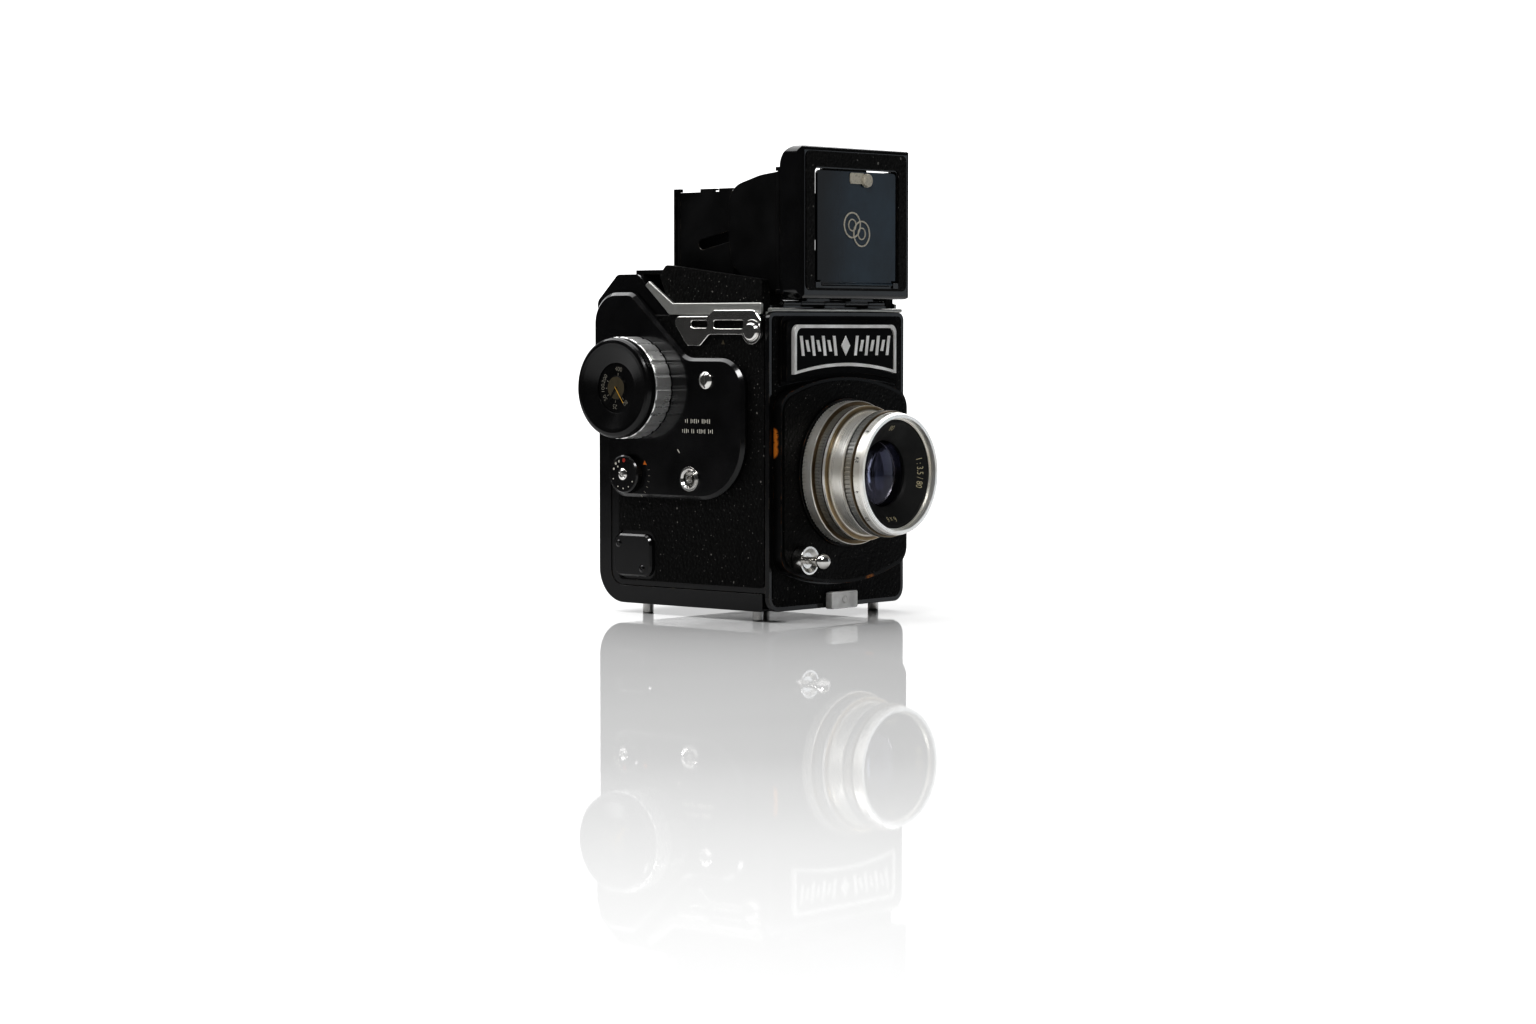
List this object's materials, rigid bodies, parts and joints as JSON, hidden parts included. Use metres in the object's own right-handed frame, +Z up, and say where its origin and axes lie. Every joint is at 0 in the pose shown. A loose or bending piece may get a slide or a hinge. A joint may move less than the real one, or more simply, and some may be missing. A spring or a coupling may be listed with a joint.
{
  "type": "single lens reflex camera",
  "caption": "Box-form roll-film reflex camera: opened waist-level hood, side winding knob, focusing lens, hinged L-shaped back, reflex mirror and tripod socket.",
  "frame": {"origin": "centre of the tripod socket's mouth on the underside of the base; the feet reach 4 mm lower", "axes": "+X to the camera's left as seen by its user facing forward (away from the winding knob), +Y to the rear, +Z up towards the hood"},
  "size_m": [0.101, 0.1213, 0.1788],
  "materials": {
    "black_enamel": "gloss black enamel on die-cast alloy, worn at the edges",
    "inner_black": "matt black anti-reflection paint",
    "leatherette": "black fine-grained leatherette",
    "satin_alloy": "satin anodised",
    "bright_chrome": "polished chrome plate",
    "lens_silver": "satin turned rings, slightly yellowed",
    "steel": "ground steel",
    "brass_gear": "cut gear brass",
    "black_plastic": "moulded gloss black",
    "spool_plastic": "matt moulded",
    "flap_enamel": "gloss blue-black enamel",
    "emblem_metal": "bright pressed metal",
    "optical_glass": "coated, with a violet cast",
    "ground_glass": "finely ground",
    "mirror_silver": "front-silvered",
    "curtain_cloth": "rubberised shutter cloth"
  },
  "bodies": {
    "body": {"body_shell": "black_enamel", "front_plate": "black_enamel", "body_leatherette": "leatherette", "top_frame": "satin_alloy", "film_chamber_cover": "black_enamel", "hood_base": "black_enamel", "hood_walls": "leatherette", "hinge_pins": "steel", "gear_cover": "black_enamel", "cover_screw": "bright_chrome", "sync_socket": "bright_chrome", "spool_cap": "black_enamel", "strap_lugs": "bright_chrome", "nameplate_base": "black_enamel", "nameplate": "satin_alloy", "lens_board": "black_enamel", "lens_board_leatherette": "leatherette", "release_collar": "bright_chrome", "mirror_box": "inner_black", "focusing_screen": "ground_glass", "film_gate": "steel", "rollers": "steel", "shutter_curtain": "curtain_cloth", "back_hinge_leaf": "steel"},
    "back": {"back_cover": "black_enamel", "back_leatherette": "leatherette", "tripod_socket": "steel", "feet": "bright_chrome"},
    "pressure_pad": {"pressure_plate": "inner_black"},
    "latch": {"latch_tab": "satin_alloy"},
    "mirror": {"mirror_frame": "inner_black", "mirror_glass": "mirror_silver"},
    "wind": {"wind_gear": "brass_gear", "wind_knob": "bright_chrome", "knob_face": "black_plastic"},
    "take_up": {"take_up_gear": "brass_gear", "take_up_spool": "spool_plastic"},
    "supply": {"supply_spool": "spool_plastic"},
    "lower_pin": {"spool_knob_lower": "bright_chrome"},
    "upper_pin": {"spool_knob_upper": "bright_chrome"},
    "speed": {"speed_dial": "black_enamel", "speed_dial_screw": "bright_chrome"},
    "release": {"release_plunger": "bright_chrome"},
    "focus": {"focus_ring": "lens_silver"},
    "lens": {"lens_barrel": "lens_silver", "lens_cells": "inner_black", "iris": "steel", "lens_glass": "optical_glass"},
    "aperture": {"aperture_ring": "lens_silver"},
    "hood_lid": {"lid": "black_enamel", "lid_leatherette": "leatherette"},
    "flap": {"sports_flap": "flap_enamel", "flap_trim": "emblem_metal"},
    "magnifier": {"magnifier_frame": "black_enamel", "magnifier_lens": "optical_glass"},
    "wing_front_left": {"front_wing_left": "black_enamel"},
    "wing_front_right": {"front_wing_right": "black_enamel"},
    "hood_back": {"rear_panel": "black_enamel"},
    "wing_rear_left": {"rear_wing_left": "black_enamel"},
    "wing_rear_right": {"rear_wing_right": "black_enamel"}
  },
  "joints": [
    {"name": "back_cover_hinge", "type": "hinge", "parent": "body", "child": "back", "pos_m": [0, 0.055, 0.1092], "axis": [1, 0, 0], "range_deg": [0, 95]},
    {"name": "pressure_plate_slide", "type": "slide", "parent": "back", "child": "pressure_pad", "axis": [0, 1, 0], "range_m": [0, 0.0008], "stiffness_N_per_m": 400},
    {"name": "back_latch_slide", "type": "slide", "parent": "body", "child": "latch", "axis": [0, 0, -1], "range_m": [0, 0.0018], "stiffness_N_per_m": 300},
    {"name": "mirror_swing", "type": "hinge", "parent": "body", "child": "mirror", "pos_m": [0, 0.0255, 0.0815], "axis": [-1, 0, 0], "range_deg": [0, 45], "stiffness_Nm_per_rad": 0.03, "springref_deg": -17.19},
    {"name": "wind_knob_turn", "type": "hinge", "parent": "body", "child": "wind", "pos_m": [-0.05, 0.032, 0.0836], "axis": [-1, 0, 0], "continuous": true},
    {"name": "take_up_turn", "type": "hinge", "parent": "body", "child": "take_up", "pos_m": [0, 0.0399, 0.10753], "axis": [-1, 0, 0], "continuous": true},
    {"name": "supply_turn", "type": "hinge", "parent": "body", "child": "supply", "pos_m": [0, 0.0399, 0.0156], "axis": [-1, 0, 0], "continuous": true},
    {"name": "lower_pin_pull", "type": "slide", "parent": "body", "child": "lower_pin", "axis": [1, 0, 0], "range_m": [0, 0.005], "stiffness_N_per_m": 200},
    {"name": "upper_pin_pull", "type": "slide", "parent": "body", "child": "upper_pin", "axis": [1, 0, 0], "range_m": [0, 0.005], "stiffness_N_per_m": 200},
    {"name": "speed_dial_turn", "type": "hinge", "parent": "body", "child": "speed", "pos_m": [-0.045, 0.0354, 0.0502], "axis": [-1, 0, 0], "range_deg": [-150, 150]},
    {"name": "release_press", "type": "slide", "parent": "body", "child": "release", "axis": [0, 1, 0], "range_m": [0, 0.003], "stiffness_N_per_m": 200},
    {"name": "focus_turn", "type": "hinge", "parent": "body", "child": "focus", "pos_m": [0, -0.044, 0.0515], "axis": [0, -1, 0], "range_deg": [0, 120]},
    {"name": "lens_extension", "type": "slide", "parent": "body", "child": "lens", "axis": [0, -1, 0], "range_m": [0, 0.006]},
    {"name": "aperture_turn", "type": "hinge", "parent": "lens", "child": "aperture", "pos_m": [0, -0.058, 0.0515], "axis": [0, -1, 0], "range_deg": [0, 90]},
    {"name": "lid_hinge", "type": "hinge", "parent": "body", "child": "hood_lid", "pos_m": [0, -0.0314, 0.1158], "axis": [-1, 0, 0], "range_deg": [0, 24]},
    {"name": "sports_flap_hinge", "type": "hinge", "parent": "hood_lid", "child": "flap", "pos_m": [0, -0.0432, 0.1231], "axis": [1, 0, 0], "range_deg": [0, 90]},
    {"name": "magnifier_hinge", "type": "hinge", "parent": "hood_lid", "child": "magnifier", "pos_m": [0, -0.0366, 0.1686], "axis": [1, 0, 0], "range_deg": [0, 90]},
    {"name": "front_wing_right_fold", "type": "hinge", "parent": "hood_lid", "child": "wing_front_right", "pos_m": [0.0322, -0.0321, 0.142], "axis": [0, 0, 1], "range_deg": [0, 90]},
    {"name": "front_wing_left_fold", "type": "hinge", "parent": "hood_lid", "child": "wing_front_left", "pos_m": [-0.0322, -0.0321, 0.142], "axis": [0, 0, -1], "range_deg": [0, 90]},
    {"name": "rear_panel_fold", "type": "hinge", "parent": "body", "child": "hood_back", "pos_m": [0, 0.0216, 0.1244], "axis": [1, 0, 0], "range_deg": [0, 86]},
    {"name": "rear_wing_right_fold", "type": "hinge", "parent": "hood_back", "child": "wing_rear_right", "pos_m": [0.0307, 0.0197, 0.142], "axis": [0, 0, -1], "range_deg": [0, 90]},
    {"name": "rear_wing_left_fold", "type": "hinge", "parent": "hood_back", "child": "wing_rear_left", "pos_m": [-0.0307, 0.0197, 0.142], "axis": [0, 0, 1], "range_deg": [0, 90]}
  ],
  "couplings": [
    {"joint": "take_up_turn", "follows": "wind_knob_turn", "ratio": -1.3333},
    {"joint": "release_press", "follows": "mirror_swing", "m_per_rad": 0.0038197},
    {"joint": "focus_turn", "follows": "lens_extension", "rad_per_m": 349.07},
    {"joint": "front_wing_left_fold", "follows": "front_wing_right_fold", "ratio": 1},
    {"joint": "rear_wing_right_fold", "follows": "front_wing_right_fold", "ratio": 1},
    {"joint": "rear_wing_left_fold", "follows": "front_wing_right_fold", "ratio": 1}
  ]
}
